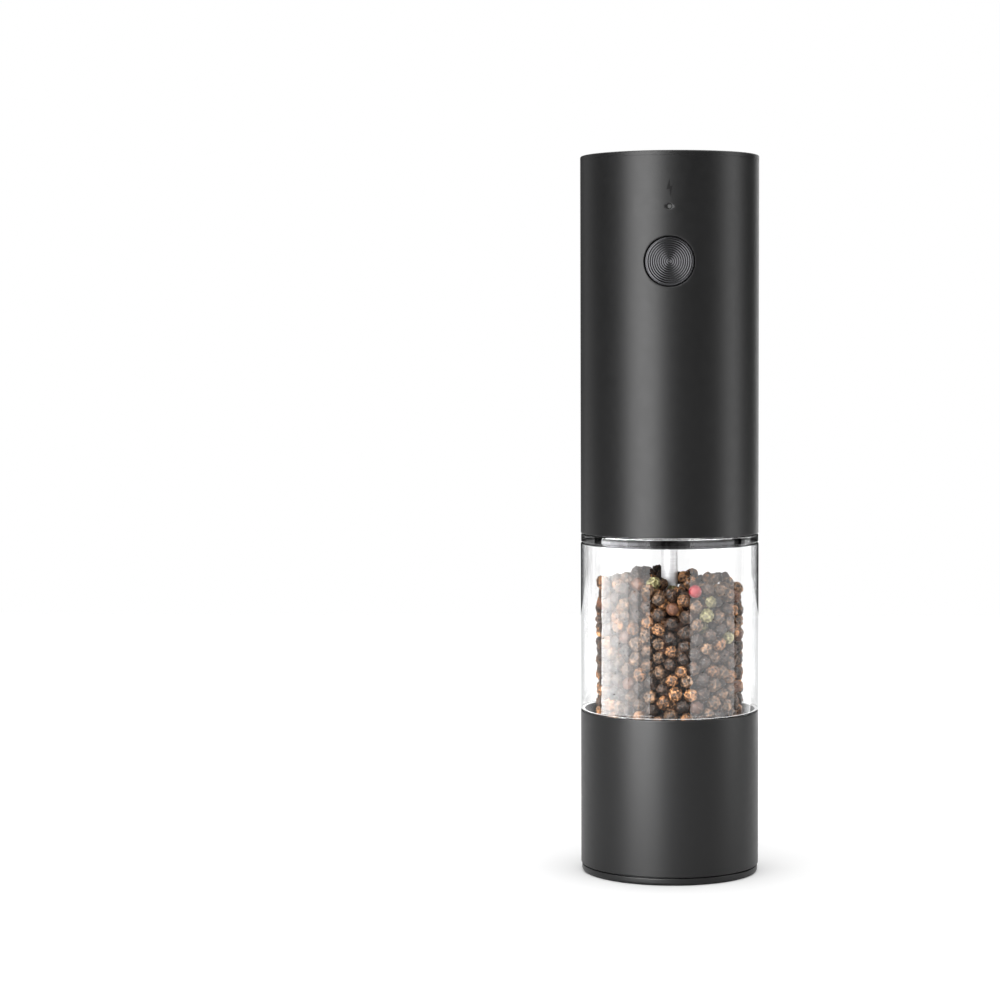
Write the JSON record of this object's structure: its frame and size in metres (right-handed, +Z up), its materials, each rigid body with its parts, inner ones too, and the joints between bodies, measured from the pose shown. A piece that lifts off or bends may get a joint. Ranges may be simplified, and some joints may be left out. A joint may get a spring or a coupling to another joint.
{
  "type": "pepper mill",
  "caption": "Upright push-button electric pepper mill: black metal head and foot sleeves round a clear jar, with motor, planetary gearbox and ceramic burrs inside.",
  "frame": {"origin": "centre of the underside, on the surface the mill stands on", "axes": "+Z up along the mill's axis; the button and lamp face -Y, the charging socket +Y"},
  "size_m": [0.052, 0.052, 0.2091],
  "materials": {
    "black_metal": "satin, finely blasted black lacquer",
    "spun_metal": "black anodised, concentric spun face",
    "clear_acrylic": "clear polished acrylic",
    "peppercorn": "wrinkled dried corns",
    "black_plastic": "moulded, fine texture",
    "white_plastic": "moulded, satin",
    "grey_plastic": "moulded, matt",
    "ceramic": "unglazed white ceramic",
    "ferrite": "sintered, matt",
    "steel": "machined steel",
    "brass": "machined brass",
    "copper": "copper bars",
    "silicone": "soft, matt",
    "circuit_board": "solder mask",
    "cell_wrap": "shrink sleeve",
    "lamp": "clear lamp"
  },
  "bodies": {
    "mill_body": {"jar": "clear_acrylic", "lower_sleeve": "black_metal", "peppercorn_fill": "peppercorn", "grinder_housing": "black_plastic", "shaft_spider": "white_plastic", "shaft_bush": "brass", "burr_clamp": "grey_plastic", "burr_screw_1": "steel", "burr_screw_2": "steel", "burr_screw_3": "steel", "outer_burr": "ceramic"},
    "base_cover": {"base_cap": "black_metal"},
    "adjuster": {"adjuster_wheel": "grey_plastic"},
    "burr_carrier": {"burr_seat": "black_plastic", "thrust_washer": "brass"},
    "drive": {"drive_shaft": "steel", "inner_burr": "ceramic", "shaft_clip": "steel"},
    "head": {"head_sleeve": "black_metal", "top_cap": "black_metal", "head_collar": "black_plastic", "neck_seal": "silicone", "chassis": "black_plastic", "gear_housing": "grey_plastic", "output_bush": "brass", "gearbox_screw_1": "steel", "gearbox_screw_2": "steel", "gearbox_screw_3": "steel", "motor_plate": "steel", "motor_can": "steel", "motor_end_cap": "white_plastic", "magnet_1": "ferrite", "magnet_2": "ferrite", "motor_cradle": "grey_plastic", "cell_tray": "grey_plastic", "cell": "cell_wrap", "lower_contact": "brass", "upper_contact": "brass", "cell_cover": "grey_plastic", "main_board": "circuit_board", "tact_switch": "black_plastic", "status_lamp": "lamp", "light_pipe": "clear_acrylic", "charge_board": "circuit_board", "charging_socket": "steel"},
    "button": {"button_cap": "spun_metal", "switch_plunger": "white_plastic"},
    "output_carrier": {"output_carrier": "steel"},
    "middle_carrier": {"middle_carrier": "steel"},
    "rotor": {"motor_shaft": "steel", "motor_pinion": "brass", "rotor_core": "steel", "commutator": "copper"},
    "output_planet_1": {"output_planet_1": "white_plastic"},
    "output_planet_2": {"output_planet_2": "white_plastic"},
    "output_planet_3": {"output_planet_3": "white_plastic"},
    "middle_planet_1": {"middle_planet_1": "white_plastic"},
    "middle_planet_2": {"middle_planet_2": "white_plastic"},
    "middle_planet_3": {"middle_planet_3": "white_plastic"}
  },
  "joints": [
    {"name": "head_lift", "type": "slide", "parent": "mill_body", "child": "head", "axis": [0, 0, 1], "range_m": [0, 0.04]},
    {"name": "button_press", "type": "slide", "parent": "head", "child": "button", "axis": [0, 1, 0], "range_m": [0, 0.001], "stiffness_N_per_m": 800},
    {"name": "base_cap_pull", "type": "slide", "parent": "mill_body", "child": "base_cover", "axis": [0, 0, -1], "range_m": [0, 0.02]},
    {"name": "adjuster_turn", "type": "hinge", "parent": "mill_body", "child": "adjuster", "pos_m": [0, 0, 0.008], "axis": [0, 0, 1], "range_deg": [0, 180]},
    {"name": "burr_lift", "type": "slide", "parent": "mill_body", "child": "burr_carrier", "axis": [0, 0, 1], "range_m": [0, 0.0008]},
    {"name": "drive_spin", "type": "hinge", "parent": "burr_carrier", "child": "drive", "pos_m": [0, 0, 0.02], "axis": [0, 0, 1], "continuous": true},
    {"name": "rotor_spin", "type": "hinge", "parent": "head", "child": "rotor", "pos_m": [0, 0, 0.146], "axis": [0, 0, 1], "continuous": true},
    {"name": "output_spin", "type": "hinge", "parent": "head", "child": "output_carrier", "pos_m": [0, 0, 0.113], "axis": [0, 0, 1], "continuous": true},
    {"name": "middle_spin", "type": "hinge", "parent": "head", "child": "middle_carrier", "pos_m": [0, 0, 0.121], "axis": [0, 0, 1], "continuous": true},
    {"name": "output_planet_1_spin", "type": "hinge", "parent": "output_carrier", "child": "output_planet_1", "pos_m": [0.00675, 0, 0.118], "axis": [0, 0, 1], "continuous": true},
    {"name": "output_planet_2_spin", "type": "hinge", "parent": "output_carrier", "child": "output_planet_2", "pos_m": [-0.00337, 0.00585, 0.118], "axis": [0, 0, 1], "continuous": true},
    {"name": "output_planet_3_spin", "type": "hinge", "parent": "output_carrier", "child": "output_planet_3", "pos_m": [-0.00337, -0.00585, 0.118], "axis": [0, 0, 1], "continuous": true},
    {"name": "middle_planet_1_spin", "type": "hinge", "parent": "middle_carrier", "child": "middle_planet_1", "pos_m": [0.00675, 0, 0.126], "axis": [0, 0, 1], "continuous": true},
    {"name": "middle_planet_2_spin", "type": "hinge", "parent": "middle_carrier", "child": "middle_planet_2", "pos_m": [-0.00337, 0.00585, 0.126], "axis": [0, 0, 1], "continuous": true},
    {"name": "middle_planet_3_spin", "type": "hinge", "parent": "middle_carrier", "child": "middle_planet_3", "pos_m": [-0.00337, -0.00585, 0.126], "axis": [0, 0, 1], "continuous": true}
  ],
  "couplings": [
    {"joint": "burr_lift", "follows": "adjuster_turn", "m_per_rad": 0.00025},
    {"joint": "middle_spin", "follows": "rotor_spin", "ratio": 0.22222},
    {"joint": "output_spin", "follows": "rotor_spin", "ratio": 0.049383},
    {"joint": "drive_spin", "follows": "rotor_spin", "ratio": 0.049383},
    {"joint": "output_planet_1_spin", "follows": "rotor_spin", "ratio": -0.13827},
    {"joint": "middle_planet_1_spin", "follows": "rotor_spin", "ratio": -0.62222},
    {"joint": "output_planet_2_spin", "follows": "rotor_spin", "ratio": -0.13827},
    {"joint": "middle_planet_2_spin", "follows": "rotor_spin", "ratio": -0.62222},
    {"joint": "output_planet_3_spin", "follows": "rotor_spin", "ratio": -0.13827},
    {"joint": "middle_planet_3_spin", "follows": "rotor_spin", "ratio": -0.62222}
  ]
}
